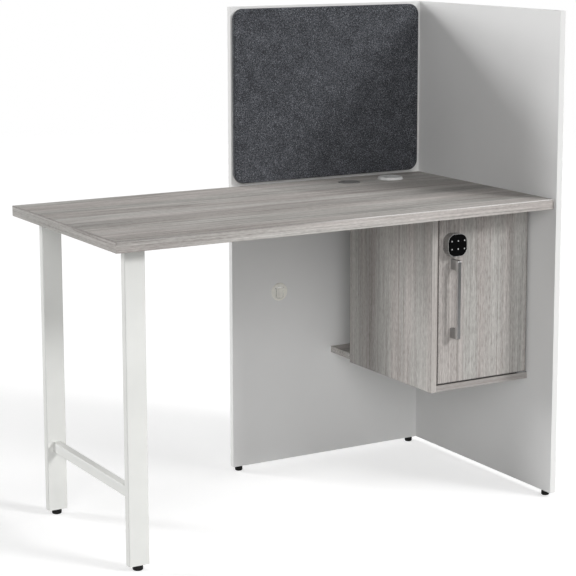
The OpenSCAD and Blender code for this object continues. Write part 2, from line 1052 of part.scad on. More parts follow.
// A liner: a tube in the desktop with a sloped flange on top of it
module liner(r, tube_r_out, flange_h) {
    difference() {
        union() {
            cylinder(flange_h, r, r - flange_h/2);
            translate([0, 0, -tube_depth])
                cylinder(tube_depth, tube_r_out, tube_r_out);
        }
        translate([0, 0, -tube_depth - over])
            cylinder(tube_depth + flange_h + 2*over, tube_r_out - liner_wall,
                tube_r_out - liner_wall);
    }
}

module raised_grommet_liner() {
    color(white_edge)
        at_raised()
            liner(raised_d/2, raised_tube_r, raised_flange_h);
}

// The raised cap: a low lid with a rounded rim and a small grip, a skirt that turns in the
// liner and a cable notch
module raised_grommet_cap() {
    r = raised_d/2 - raised_flange_h/2;
    skirt_r = raised_tube_r - liner_wall - seat;
    z0 = raised_flange_h + seat;
    rim = raised_h - z0;
    color(white_edge)
        at_raised() {
            difference() {
                union() {
                    translate([0, 0, z0])
                        rotate_extrude()
                            intersection() {
                                square([r, rim]);
                                union() {
                                    square([r - rim, rim]);
                                    translate([r - rim, 0])
                                        circle(rim);
                                }
                            }
                    translate([0, 0, -cap_skirt])
                        cylinder(z0 + cap_skirt + over, skirt_r, skirt_r);
                }
                translate([0, 0, -cap_skirt - over])
                    cylinder(cap_skirt + raised_h - cap_skin + over, skirt_r - liner_wall,
                        skirt_r - liner_wall);
                translate([0, skirt_r - notch_r, -cap_skirt - over])
                    cylinder(cap_skirt + raised_h + 2*over, notch_r, notch_r);
            }
            translate([grip_right, grip_behind, raised_h - over])
                cylinder(grip_h + over, grip_r, grip_r);
        }
}

module flat_grommet_liner() {
    color(charcoal)
        at_flat()
            difference() {
                liner(flat_d/2, flat_tube_r, flat_flange_h);
                translate([0, 0, -cap_skin])
                    cylinder(cap_skin + flat_flange_h + over, flat_tube_r - liner_wall/2,
                        flat_tube_r - liner_wall/2);
            }
}

// The flat cap: a disc on the liner's ledge, with a cable notch
module flat_grommet_cap() {
    r = flat_tube_r - liner_wall/2 - seat;
    skirt_r = flat_tube_r - liner_wall - seat;
    color(charcoal)
        at_flat()
            difference() {
                union() {
                    translate([0, 0, seat - cap_skin])
                        cylinder(cap_skin + flat_flange_h/2, r, r);
                    translate([0, 0, -cap_skirt])
                        ring(skirt_r, skirt_r - liner_wall, cap_skirt);
                }
                rotate([0, 0, 45])
                    translate([0, skirt_r - notch_r, -cap_skirt - over])
                        cylinder(cap_skirt + flat_flange_h + 3*over, notch_r, notch_r);
            }
}

// Local frame of the outlet: its middle on the back panel's front face
module at_outlet() {
    translate([outlet_x, back_y, outlet_z])
        children();
}

// The flap's outline, seen from the front: straight sides, and an arc round the bore below
module flap_outline(grow) {
    w = flap_w/2 + grow;
    intersection() {
        translate([-w, -outlet_tube_r])
            square([2*w, outlet_tube_r + flap_top + grow]);
        circle(outlet_tube_r - outlet_skin - flap_gap + grow);
    }
}

// The cable outlet: a face plate with a tube through the panel
module panel_outlet() {
    color(cream)
        at_outlet()
            difference() {
                union() {
                    rotate([90, 0, 0])
                        cylinder(outlet_plate_t, outlet_d/2, outlet_d/2 - outlet_plate_t/2);
                    rotate([-90, 0, 0])
                        ring(outlet_tube_r, outlet_tube_r - outlet_skin, panel_t);
                }
                translate([0, over, 0])
                    rotate([90, 0, 0])
                        linear_extrude(outlet_plate_t + 2*over)
                            flap_outline(flap_gap);
                translate([-flap_w/2 - flap_pin_l - flap_gap, -outlet_plate_t + flap_t/2,
                        flap_top - flap_t/2])
                    rotate([0, 90, 0])
                        cylinder(flap_w + 2*flap_pin_l + 2*flap_gap, flap_pin_r + running,
                            flap_pin_r + running);
            }
}

// The flap, hung by two small pins at its top
module panel_outlet_flap() {
    pin_y = -outlet_plate_t + flap_t/2;
    pin_z = flap_top - flap_t/2;
    color(cream)
        at_outlet() {
            difference() {
                translate([0, -outlet_plate_t + flap_t, 0])
                    rotate([90, 0, 0])
                        linear_extrude(flap_t)
                            flap_outline(0);
                translate([-flap_w/2 - over, -outlet_plate_t - over, pin_z])
                    cube([flap_w + 2*over, flap_t + 2*over, flap_t]);
            }
            translate([-flap_w/2, pin_y, pin_z])
                rotate([0, 90, 0])
                    cylinder(flap_w, flap_t/2, flap_t/2);
            translate([-flap_w/2 - flap_pin_l, pin_y, pin_z])
                rotate([0, 90, 0])
                    cylinder(flap_w + 2*flap_pin_l, flap_pin_r, flap_pin_r);
        }
}

// The holes for the pivot bushes in the door's lower and upper edges
module bush_holes() {
    for (z = [door_z0 - over, door_z1 - bush_l])
        translate([pivot_x, pivot_y, z])
            cylinder(bush_l + over, bush_r + running, bush_r + running);
}

module door() {
    color(grey_wood)
        difference() {
            block([door_x0 + band_t, cab_y, door_z0 + band_t],
                [door_x1 - band_t, door_y1, door_z1 - band_t]);
            bush_holes();
            translate([lock_x, cab_y - over, lock_z])
                rotate([-90, 0, 0])
                    cylinder(board_t + 2*over, barrel_r, barrel_r);
            at_handle_screws()
                screw_hole(handle_screw_r + seat, board_t + over);
        }
}

module door_band() {
    color(grey_edge)
        difference() {
            edge_band([door_x0, cab_y, door_z0], [door_x1, door_y1, door_z1],
                [door_x0 + band_t, cab_y, door_z0 + band_t],
                [door_x1 - band_t, door_y1, door_z1 - band_t], [0, 1, 0], [0, 1, 0]);
            bush_holes();
        }
}

module pivot_bushes() {
    color(white_edge)
        for (z = [door_z0, door_z1 - bush_l])
            translate([pivot_x, pivot_y, z])
                ring(bush_r, pin_r + running, bush_l);
}

// The handle's screw lines, from the inside of the door to the front
module at_handle_screws() {
    for (z = [handle_z0 + handle_leg/2, handle_z1 - handle_leg/2])
        translate([line_x, door_y1, z])
            rotate([90, 0, 0])
                children();
}

// The pull: one profile, seen from the side, with two deep legs and round inner corners
module handle() {
    inner_l = handle_l - 2*handle_leg;
    inner_out = handle_out - handle_t;
    color(satin)
        difference() {
            translate([line_x, cab_y, handle_z0 + handle_l/2])
                rotate([90, 0, -90])
                    linear_extrude(handle_w, center = true)
                        difference() {
                            handle_outline();
                            translate([-over, -inner_l/2])
                                square([inner_out - handle_inner_r + over, inner_l]);
                            translate([-over, handle_inner_r - inner_l/2])
                                square([inner_out + over, inner_l - 2*handle_inner_r]);
                            for (z = [-1, 1])
                                translate([inner_out - handle_inner_r,
                                        z*(inner_l/2 - handle_inner_r)])
                                    circle(handle_inner_r);
                        }
            at_handle_screws()
                screw_hole(handle_screw_r + running, board_t + handle_screw_in);
        }
}

// Outer outline of the pull, with x away from the door and y up
module handle_outline() {
    translate([0, -handle_l/2])
        square([handle_out - handle_outer_r, handle_l]);
    translate([0, handle_outer_r - handle_l/2])
        square([handle_out, handle_l - 2*handle_outer_r]);
    for (z = [-1, 1])
        translate([handle_out - handle_outer_r, z*(handle_l/2 - handle_outer_r)])
            circle(handle_outer_r);
}

module handle_screws() {
    color(zinc)
        at_handle_screws()
            screw(handle_screw_r, board_t + handle_screw_in, handle_head_r, handle_head_h);
}

// Local frame of the lock: its axis on the door's front face, z to the front
module at_lock(y) {
    translate([lock_x, y, lock_z])
        rotate([90, 0, 0])
            children();
}

// Outline of the lock's shell, drawn in by a margin
module lock_outline(margin) {
    rounded_square(lock_w - 2*margin, lock_h - 2*margin, lock_r - margin);
}

// The housing: a hollow shell with posts for the circuit board, a rim round the face and a
// threaded barrel through the door, bored for the spindle
module lock_housing() {
    shell = lock_out - lock_face_t;
    color(satin)
        difference() {
            union() {
                at_lock(cab_y)
                    difference() {
                        linear_extrude(shell + lock_face_t/2)
                            lock_outline(0);
                        translate([0, 0, shell])
                            linear_extrude(lock_face_t)
                                lock_outline(lock_rim);
                        translate([0, 0, lock_wall])
                            linear_extrude(shell)
                                lock_outline(lock_wall);
                    }
                for (x = [-lock_post_x, lock_post_x])
                    for (z = [-lock_post_z, lock_post_z])
                        translate([x, 0, z])
                            at_lock(cab_y)
                                cylinder(shell - pcb_space - board_pcb_t, lock_post_r,
                                    lock_post_r);
                at_lock(door_y1 + barrel_out)
                    cylinder(board_t + barrel_out + lock_wall, barrel_r, barrel_r);
            }
            at_lock(door_y1 + barrel_out + over)
                cylinder(board_t + barrel_out + lock_wall + 2*over, spindle_r + running,
                    spindle_r + running);
        }
}
// Room between the face and the circuit board: the keys' flanges, their travel and seats
pcb_space = key_flange_t + key_travel + 2*seat;

// The black keypad face, stepped in at its edge, with a hole for each key
module lock_face() {
    color(black)
        difference() {
            at_lock(lock_face_y + lock_face_t) {
                linear_extrude(lock_face_t - lock_back_step/2)
                    lock_outline(lock_rim + running);
                linear_extrude(lock_face_t)
                    lock_outline(lock_rim + lock_back_step/2);
            }
            for (row = [0, 1])
                for (column = [-1, 0, 1])
                    at_key(column, row)
                        translate([0, 0, -lock_face_t - over])
                            cylinder(lock_face_t + 2*over, key_r + key_slack,
                                key_r + key_slack);
        }
}

// Place of a key on the face's front: column -1 to 1 from the left, row 0 below and 1 above
module at_key(column, row) {
    translate([lock_x + column*key_pitch_x, lock_face_y,
            lock_z + key_lift + (row - 0.5)*key_pitch_z])
        rotate([90, 0, 0])
            children();
}

// A key: a domed pin through the face with a flange behind it
module key(column, row) {
    color(white_edge)
        at_key(column, row) {
            translate([0, 0, -lock_face_t - seat])
                cylinder(lock_face_t + seat + key_out/2, key_r, key_r);
            translate([0, 0, key_out/2])
                cylinder(key_out/2, key_r, key_r - key_out/2);
            translate([0, 0, -lock_face_t - seat - key_flange_t])
                cylinder(key_flange_t, key_flange_r, key_flange_r);
        }
}

module key_top_left() {
    key(-1, 1);
}

module key_top_middle() {
    key(0, 1);
}

module key_top_right() {
    key(1, 1);
}

module key_bottom_left() {
    key(-1, 0);
}

module key_bottom_middle() {
    key(0, 0);
}

module key_bottom_right() {
    key(1, 0);
}

// The circuit board behind the keys, on the housing's posts
module lock_board() {
    color(pcb_green)
        at_lock(lock_face_y + lock_face_t + pcb_space + board_pcb_t)
            linear_extrude(board_pcb_t)
                lock_outline(lock_wall + pcb_margin);
}

// The button cell behind the circuit board
module lock_battery() {
    color(zinc)
        translate([0, 0, battery_lift])
            at_lock(lock_face_y + lock_face_t + pcb_space + board_pcb_t + battery_t)
                cylinder(battery_t, battery_r, battery_r);
}

// The gear motor on the housing's back wall, with a socket for the spindle's end
module lock_motor() {
    color(black)
        difference() {
            at_lock(cab_y - lock_wall)
                cylinder(motor_l, motor_r, motor_r);
            at_lock(cab_y - lock_wall + over)
                cylinder(over + motor_socket + seat, spindle_r + running,
                    spindle_r + running);
        }
}

// The hexagonal nut that holds the lock from inside
module lock_nut() {
    color(zinc)
        at_lock(door_y1 + nut_t)
            difference() {
                cylinder(nut_t, nut_af/sqrt(3), nut_af/sqrt(3), $fn = 6);
                translate([0, 0, -over])
                    cylinder(nut_t + 2*over, barrel_r + running, barrel_r + running);
            }
}

// The spindle: a shaft in the barrel with a hub that carries the cam
module lock_spindle() {
    hub_y = door_y1 + barrel_out + seat;
    color(zinc)
        difference() {
            union() {
                at_lock(cam_y)
                    cylinder(cam_y - cab_y + lock_wall + motor_socket, spindle_r,
                        spindle_r);
                at_lock(cam_y)
                    cylinder(cam_y - hub_y, spindle_hub_r, spindle_hub_r);
            }
            at_lock(cam_y + over)
                cylinder(cam_screw_l - cam_t + over, cam_screw_r, cam_screw_r);
        }
}

// The cam: a flat tongue that hangs down when the lock is open
module lock_cam() {
    color(zinc)
        difference() {
            at_lock(cam_y + cam_t)
                linear_extrude(cam_t)
                    union() {
                        circle(cam_w/2);
                        translate([-cam_w/2, cam_w/2 - cam_l])
                            square([cam_w, cam_l - cam_w/2]);
                    }
            at_lock(cam_y + cam_t + over)
                cylinder(cam_t + 2*over, cam_screw_r, cam_screw_r);
        }
}

module lock_cam_screw() {
    color(zinc)
        at_lock(cam_y + cam_t)
            screw(cam_screw_r, cam_screw_l, cam_screw_head_r, cam_screw_head_h);
}

// A glide: a round-edged pad moulded on a threaded stud
module glide(d, r_stud) {
    color(black) {
        rotate_extrude()
            union() {
                square([d/2 - pad_round, glide_h - seat]);
                translate([0, pad_round])
                    square([d/2, glide_h - seat - pad_round - pad_neck]);
                translate([d/2 - pad_round, pad_round])
                    circle(pad_round);
                polygon([[0, glide_h - seat - pad_neck], [d/2, glide_h - seat - pad_neck],
                    [d/2 - pad_neck, glide_h - seat], [0, glide_h - seat]]);
            }
        cylinder(glide_h + stud_l, r_stud, r_stud);
    }
}

module glide_back_left() {
    translate([back_x + glide_inset, back_y + panel_t/2, 0])
        glide(panel_glide_d, stud_r);
}

module glide_back_right() {
    translate([side_x - glide_inset, back_y + panel_t/2, 0])
        glide(panel_glide_d, stud_r);
}

module glide_side_front() {
    translate([side_x + panel_t/2, side_y + side_glide_inset, 0])
        glide(panel_glide_d, stud_r);
}

module glide_leg_front() {
    translate([leg_mid, front_leg_y + leg_d/2, 0])
        glide(leg_glide_d, leg_stud_r);
}

module glide_leg_back() {
    translate([leg_mid, back_leg_y + leg_d/2, 0])
        glide(leg_glide_d, leg_stud_r);
}

back_panel();
back_panel_band();
side_panel();
side_panel_band();
dowels();
cam_bolts();
cam_discs();
panel_glide_inserts();
desktop();
desktop_band();
corner_brackets();
desktop_screws();
leg_top_plate();
front_leg();
back_leg();
crossbar();
leg_plugs();
cabinet_side();
cabinet_bottom();
cabinet_bands();
cabinet_back();
pivot_brackets();
pivot_washer();
lock_keeper();
fitting_screws();
door_stops();
tackboard();
tackboard_clips();
tackboard_screws();
raised_grommet_liner();
raised_grommet_cap();
flat_grommet_liner();
flat_grommet_cap();
panel_outlet();
panel_outlet_flap();
door();
door_band();
pivot_bushes();
handle();
handle_screws();
lock_housing();
lock_face();
lock_board();
lock_battery();
lock_motor();
lock_nut();
key_top_left();
key_top_middle();
key_top_right();
key_bottom_left();
key_bottom_middle();
key_bottom_right();
lock_spindle();
lock_cam();
lock_cam_screw();
glide_back_left();
glide_back_right();
glide_side_front();
glide_leg_front();
glide_leg_back();
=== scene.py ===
import math

import bmesh
import bpy
from mathutils import Matrix, Vector


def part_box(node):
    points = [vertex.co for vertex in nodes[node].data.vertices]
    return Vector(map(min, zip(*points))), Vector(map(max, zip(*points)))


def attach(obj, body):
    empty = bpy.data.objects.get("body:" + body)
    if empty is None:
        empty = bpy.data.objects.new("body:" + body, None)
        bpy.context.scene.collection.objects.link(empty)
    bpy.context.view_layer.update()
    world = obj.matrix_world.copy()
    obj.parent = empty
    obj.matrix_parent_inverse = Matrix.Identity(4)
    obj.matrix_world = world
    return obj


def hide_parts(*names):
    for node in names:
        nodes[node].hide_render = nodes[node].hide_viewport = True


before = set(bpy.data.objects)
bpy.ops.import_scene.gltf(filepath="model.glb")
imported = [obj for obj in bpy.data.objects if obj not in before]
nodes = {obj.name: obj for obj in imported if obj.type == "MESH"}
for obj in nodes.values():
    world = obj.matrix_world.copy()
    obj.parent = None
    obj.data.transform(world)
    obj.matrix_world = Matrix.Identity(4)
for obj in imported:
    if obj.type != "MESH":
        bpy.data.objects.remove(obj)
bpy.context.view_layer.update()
scene = bpy.context.scene


# ---------------------------------------------------------------- colours

def grey(level):
    return (level, level, level)


def toned(colour, level):
    """A colour times a number, with no channel above 1."""
    return tuple(min(channel * level, 1.0) for channel in colour)


# ---------------------------------------------------------------- node helpers

class Shader:
    """A node material under construction. Where nothing else is said, a method returns an
    output socket. Lengths are in metres."""

    def __init__(self, name):
        self.mat = bpy.data.materials.new(name)
        self.mat.use_nodes = True
        self.tree = self.mat.node_tree
        self.bsdf = self.tree.nodes["Principled BSDF"]
        self.coords = self.put("TexCoord").outputs
        self.point = self.coords["Object"]

    def put(self, kind, inputs=None, **props):
        """Adds a node and returns it."""
        node = self.tree.nodes.new("ShaderNode" + kind)
        for key, value in props.items():
            setattr(node, key, value)
        for key, value in (inputs or {}).items():
            self.feed(node.inputs[key], value)
        return node

    def feed(self, socket, value):
        """Links a socket to another one, or gives it a constant."""
        if isinstance(value, bpy.types.NodeSocket):
            self.tree.links.new(value, socket)
        else:
            socket.default_value = value

    def set(self, **values):
        """Constants go on the shader's own sockets; anything that varies is linked."""
        for key, value in values.items():
            self.feed(self.bsdf.inputs[key.replace("_", " ")], value)

    def bump(self, height, distance, strength=1.0):
        node = self.put("Bump", {"Height": height, "Distance": distance, "Strength": strength})
        self.feed(self.bsdf.inputs["Normal"], node.outputs[0])

    # Numbers

    def math(self, op, a, b=0.0, c=0.0):
        return self.put("Math", {0: a, 1: b, 2: c}, operation=op).outputs[0]

    def range(self, value, lo, hi, to_lo=0.0, to_hi=1.0):
        return self.put("MapRange", {0: value, 1: lo, 2: hi, 3: to_lo, 4: to_hi}).outputs[0]

    def sum(self, *terms):
        """Weighted sum of (socket, weight) pairs."""
        total = 0.0
        for socket, weight in terms:
            total = self.math("MULTIPLY_ADD", socket, weight, total)
        return total

    def noise(self, vector, scale=1.0, detail=2.0, rough=0.5, twist=0.0):
        return self.put("TexNoise", {"Vector": vector, "Scale": scale, "Detail": detail,
                                     "Roughness": rough, "Distortion": twist}).outputs[0]

    def grain(self, vector, along, across, offset=(0, 0, 0), detail=2.0, rough=0.5):
        """Noise drawn out along the vector's first axis. along and across say how often it
        changes in a metre."""
        return self.noise(self.stretch(vector, (along, across, across), offset),
                          detail=detail, rough=rough)

    def edges(self, radius, share, full=0.75):
        """share on a sharp edge of the mesh, 0 away from it. The nearer full is to 1, the wider
        the part of the radius that counts as the edge."""
        soft = self.put("Bevel", {"Radius": radius}, samples=4).outputs[0]
        true = self.put("NewGeometry").outputs["Normal"]
        alike = self.vector("DOT_PRODUCT", soft, true, "Value")
        return self.math("MULTIPLY", self.range(alike, 1.0, full), share)

    def from_axis(self, vector, centre):
        """Distance from the line through centre that runs along Y."""
        parts = self.split(self.vector("SUBTRACT", vector, centre))
        return self.vector("LENGTH", self.join(x=parts[0], z=parts[2]), out="Value")

    # Vectors

    def vector(self, op, a, b=(0.0, 0.0, 0.0), out="Vector"):
        return self.put("VectorMath", {0: a, 1: b}, operation=op).outputs[out]

    def split(self, vector):
        """The three parts of a vector, as output sockets."""
        return self.put("SeparateXYZ", {0: vector}).outputs

    def join(self, x=0.0, y=0.0, z=0.0):
        return self.put("CombineXYZ", {0: x, 1: y, 2: z}).outputs[0]

    def swap(self, order):
        """The coordinates in another order, such as zxy."""
        parts = self.split(self.point)
        return self.join(*(parts["xyz".index(axis)] for axis in order))

    def stretch(self, vector, scale, offset=(0, 0, 0)):
        return self.put("Mapping", {"Vector": vector, "Scale": scale,
                                    "Location": offset}).outputs[0]

    def choose(self, factor, a, b):
        """Vector a where factor is 0 and b where it is 1."""
        return self.put("Mix", {0: factor, 4: a, 5: b}, data_type="VECTOR").outputs[1]

    # Colours

    def ramp(self, value, stops):
        """Colours along a value; stops are (place, colour) pairs."""
        node = self.put("ValToRGB", {0: value})
        elements = node.color_ramp.elements
        while len(elements) < len(stops):
            elements.new(0.5)
        for element, (place, colour) in zip(elements, stops):
            element.position = place
            element.color = (*colour, 1.0)
        return node.outputs[0]

    def graded(self, value, colour, low, high):
        """A colour at low to high times its brightness, as value goes from 0 to 1."""
        return self.ramp(value, [(0.0, toned(colour, low)), (1.0, toned(colour, high))])

    def blend(self, factor, a, b, how="MIX"):
        a, b = ((*c, 1.0) if isinstance(c, tuple) else c for c in (a, b))
        return self.put("Mix", {0: factor, 6: a, 7: b}, data_type="RGBA",
                        blend_type=how).outputs[2]

    def scaled(self, colour, level):
        """A colour times a number that varies."""
        return self.vector("MULTIPLY", colour, self.join(level, level, level))


def dress(material, *names):
    """Gives CAD nodes their material."""
    for name in names:
        mesh = nodes[name].data
        if not mesh.materials:
            mesh.materials.append(None)
        for i in range(len(mesh.materials)):
            mesh.materials[i] = material


# ---------------------------------------------------------------- materials

def laminate(name, colour, texture, roughness):
    """Plain laminate: fine matt texture, faint clouding, edges a little worn."""
    s = Shader(name)
    cloud = s.noise(s.point, 3.5, 3.0, 0.55)
    speck = s.noise(s.point, 900.0, 2.0, 0.6)
    body = s.graded(s.range(s.sum((cloud, 0.045), (speck, 0.025)), 0.02, 0.05),
                    colour, 0.955, 1.03)
    body = s.blend(s.edges(0.0012, 0.35), body, toned(colour, 0.8))
    s.set(Base_Color=body, Specular_IOR_Level=0.35,
          Roughness=s.range(s.sum((cloud, 0.5), (speck, 0.5)), 0.3, 0.7,
                            roughness - 0.06, roughness + 0.06))
    s.bump(speck, texture)
    return s.mat


WOOD_TONES = [(0.0, (0.250, 0.236, 0.222)), (0.25, (0.343, 0.326, 0.310)),
              (0.5, (0.430, 0.412, 0.394)), (0.75, (0.505, 0.486, 0.467)),
              (1.0, (0.600, 0.580, 0.560))]
WOOD_DARK = (0.20, 0.186, 0.173)
WOOD_HUES = (0.985, 1.0, 0.995), (1.0, 0.972, 0.968)
# Dark arris lines: the line at a laminate edge, and painted shade along the gaps round the door.
ARRIS_LINE_AND_SHADE = (1.04, 0.98, 0.94)
# Colour of the painted highlight on the desktop's front arris.
ARRIS_HIGHLIGHT = (1.0, 0.985, 0.97)


def wood(name, order, tone, weights, half, lines, sway, arris=(0.0014, 0.7, 0.12, 0.75),
         bands_and_shade=(), band=False, across=None, lit_arris=None, above=None, gap_shade=None):
    """Grey-brown wood-grain laminate.

    order    the axes, the grain's axis first
    tone     its brightness
    weights  shares of plank, streak, fibre and fleck in the grain
    half     half the grain's range
    lines    depth of thin dark lines
    sway     how far the grain wanders
    arris    width, share, level and reach of the line on a sharp edge
    bands_and_shade  broad bands: (axis, middle, half width, share), grain and painted shade
    band     True for an edge band, whose grain runs round the board
    across   (from x, below z, level) of the part where the grain lies along x
    lit_arris  (from x, to x, level): beyond it the arris line is a painted highlight
    above    height where the arris line starts
    gap_shade  (from y, to y, level): painted shade in front of it, for the gap under the door
    """
    s = Shader(name)
    place = s.split(s.point)
    if band:
        facing = s.split(s.coords["Normal"])[0]
        turned = s.math("GREATER_THAN", s.math("ABSOLUTE", facing), 0.6)
        vector = s.choose(turned, s.swap(order), s.swap("yxz"))
    elif across:
        start, top, across_level = across
        turned = s.math("MULTIPLY", s.math("GREATER_THAN", place[0], start),
                        s.math("LESS_THAN", place[2], top))
        vector = s.choose(turned, s.swap(order), s.swap("xyz"))
    else:
        vector = s.swap(order)
    bend = s.math("MULTIPLY", s.grain(vector, 1.1, 5.0), sway)
    vector = s.vector("ADD", vector, s.join(y=bend, z=bend))

    plank = s.grain(vector, 0.9, 13.0, (3.1, 0.4, 1.7), 3.0)
    streak = s.grain(vector, 1.3, 62.0, (1.2, 5.3, 0.9), 4.0, 0.6)
    fibre = s.grain(vector, 2.6, 330.0, detail=3.0, rough=0.65)
    fleck = s.grain(vector, 70.0, 420.0, (2.0, 8.0, 5.0), 3.0, 0.6)
    middle = 0.5 * sum(weights)
    body = s.ramp(s.range(s.sum(*zip((plank, streak, fibre, fleck), weights)),
                          middle - half, middle + half),
                  [(stop, toned(colour, tone)) for stop, colour in WOOD_TONES])
    for axis, line, wide, share in bands_and_shade:
        # The noises average 0.5, so together they move a band by 0.75 of its half width.
        spot = s.sum((plank, wide), (streak, 0.5 * wide), (place["xyz".index(axis)], 1.0))
        away = s.math("ABSOLUTE", s.math("SUBTRACT", spot, line + 0.75 * wide))
        body = s.scaled(body, s.range(away, wide, 0.15 * wide, 1.0, 1.0 + share))
    if across:
        body = s.scaled(body, s.range(turned, 0.0, 1.0, 1.0, across_level))
    # Painted shade: darker in front of the given y.
    if gap_shade:
        start, end, level = gap_shade
        body = s.scaled(body, s.range(place[1], start, end, level, 1.0))
    hue = s.grain(vector, 1.3, 24.0, (7.0, 2.0, 4.0))
    body = s.blend(1.0, body, s.blend(s.range(hue, 0.38, 0.62), *WOOD_HUES), "MULTIPLY")

    dark = toned(WOOD_DARK, tone)
    pores = s.range(s.grain(vector, 16.0, 1100.0), 0.60, 0.72)
    body = s.blend(s.math("MULTIPLY", pores, 0.28), body, dark)
    thin = s.grain(vector, 0.6, 190.0, (4.4, 2.6, 6.1), 1.0)
    body = s.blend(s.math("MULTIPLY", s.range(thin, 0.40, 0.30), lines), body, dark)

    width, share, level, reach = arris
    edge = s.edges(width, share, reach)
    edge_colour = toned(ARRIS_LINE_AND_SHADE, level)
    if above:
        edge = s.math("MULTIPLY", edge, s.range(place[2], above, above + 0.003))
    # Painted highlight: beyond the given x the arris line turns light.
    if lit_arris:
        start, end, level = lit_arris
        edge_colour = s.blend(s.range(place[0], start, end), edge_colour,
                              toned(ARRIS_HIGHLIGHT, level))
    body = s.blend(edge, body, edge_colour)
    s.set(Base_Color=body, Specular_IOR_Level=0.12,
          Roughness=s.range(s.sum((streak, 0.5), (fibre, 0.5)), 0.35, 0.65, 0.72, 0.56))
    s.bump(s.sum((fibre, 0.7), (pores, -0.6), (streak, 0.4)), 0.00022, 0.8)
    return s.mat


def plastic(name, colour, roughness, texture=0.00006, size=1400.0, spec=0.5,
            rim=(0.0004, 0.4, 1.25), within=None):
    """Moulded plastic. texture is the depth of its grain and size the grain's fineness. rim is
    the width, share and level of its sharp edges: lighter as wear on most parts, dark as painted
    shade in the gap round the outlet's flap. within is (x, z, radius): further from that axis the
    edges stay plain."""
    s = Shader(name)
    fine = s.noise(s.point, size, 3.0, 0.6)
    cloud = s.noise(s.point, 60.0)
    body = s.graded(s.range(s.sum((fine, 0.4), (cloud, 0.6)), 0.38, 0.62), colour, 0.9, 1.08)
    width, share, level = rim
    edge = s.edges(width, share)
    if within:
        x, z, radius = within
        away = s.from_axis(s.point, (x, 0.0, z))
        edge = s.math("MULTIPLY", edge, s.range(away, radius, radius + 0.001, 1.0, 0.0))
    body = s.blend(edge, body, tuple(min(c * level + 0.01, 1.0) for c in colour))
    s.set(Base_Color=body, Specular_IOR_Level=spec,
          Roughness=s.range(cloud, 0.35, 0.65, roughness - 0.05, roughness + 0.05))
    s.bump(fine, texture)
    return s.mat


def paint(name, colour):
    """Powder coat: orange peel, a little glossier on its crests, edges a little worn."""
    s = Shader(name)
    peel = s.noise(s.point, 620.0, 2.0, 0.45)
    cloud = s.noise(s.point, 9.0, 3.0)
    body = s.graded(s.range(cloud, 0.35, 0.65), colour, 0.965, 1.02)
    body = s.blend(s.edges(0.0015, 0.25), body, toned(colour, 0.82))
    s.set(Base_Color=body, Specular_IOR_Level=0.45,
          Roughness=s.range(peel, 0.3, 0.7, 0.48, 0.36))
    s.bump(peel, 0.00012, 0.7)
    return s.mat


def metal(name, colour, roughness, order="zxy", brush=(14.0, 1500.0, 1500.0),
          rim=(0.0005, 0.4, 1.25), rim_metallic=1.0, front=None, deep=None):
    """Brushed or plated metal with fine lines along one axis. rim is the width, share and
    level of its light edges: wear on most parts, a painted highlight on the handle and the lock
    housing. rim_metallic says how metallic they stay. front is (from z, to z, level, level) of a
    painted reflection on the faces not turned to -X or +X. deep is (from y, to y, level) of
    painted shade on the parts at the back."""
    s = Shader(name)
    lines = s.noise(s.stretch(s.swap(order), brush), 1.0, 3.0, 0.6)
    cloud = s.noise(s.point, 45.0, 3.0)
    body = s.graded(s.range(s.sum((lines, 0.6), (cloud, 0.4)), 0.36, 0.64), colour, 0.86, 1.1)
    if front:
        facing = s.split(s.coords["Normal"])[0]
        turned = s.range(s.math("ABSOLUTE", facing), 0.15, 0.5)
        height = s.split(s.point)[2]
        body = s.scaled(body, s.range(turned, 0.0, 1.0, s.range(height, *front), 1.0))
    if deep:
        start, end, level = deep
        body = s.scaled(body, s.range(s.split(s.point)[1], start, end, 1.0, level))
    width, share, level = rim
    edge = s.edges(width, share)
    s.set(Base_Color=s.blend(edge, body, toned(colour, level)),
          Metallic=1.0 if rim_metallic == 1.0 else s.range(edge, 0.0, 1.0, 1.0, rim_metallic),
          Roughness=s.range(s.sum((lines, 0.7), (cloud, 0.3)), 0.35, 0.65,
                            roughness - 0.07, roughness + 0.09))
    s.bump(lines, 0.00003, 0.6)
    return s.mat


def gloss(name):
    """Black glass-like face of the keypad, with faint finger smears in its gloss."""
    s = Shader(name)
    smear = s.noise(s.stretch(s.point, (60.0, 60.0, 35.0)), 1.0, 4.0, 0.6, 1.2)
    body = s.ramp(smear, [(0.3, (0.0012, 0.0012, 0.0013)), (0.75, (0.0030, 0.0030, 0.0033))])
    s.set(Base_Color=body, Specular_IOR_Level=0.06,
          Roughness=s.range(smear, 0.35, 0.7, 0.12, 0.26))
    s.bump(smear, 0.00002, 0.3)
    return s.mat


def keys(name, light, reach):
    """Black key with a light dot in the middle of its face; reach is the dot's share of it."""
    s = Shader(name)
    away = s.from_axis(s.coords["Generated"], (0.5, 0.5, 0.5))
    fine = s.noise(s.point, 1400.0, 3.0, 0.6)
    dot = s.ramp(fine, [(0.3, grey(0.92 * light)), (0.7, grey(light))])
    s.set(Base_Color=s.blend(s.range(away, reach, reach + 0.07), dot, grey(0.004)),
          Specular_IOR_Level=0.15, Roughness=s.range(fine, 0.3, 0.7, 0.36, 0.44))
    s.bump(fine, 0.00004)
    return s.mat


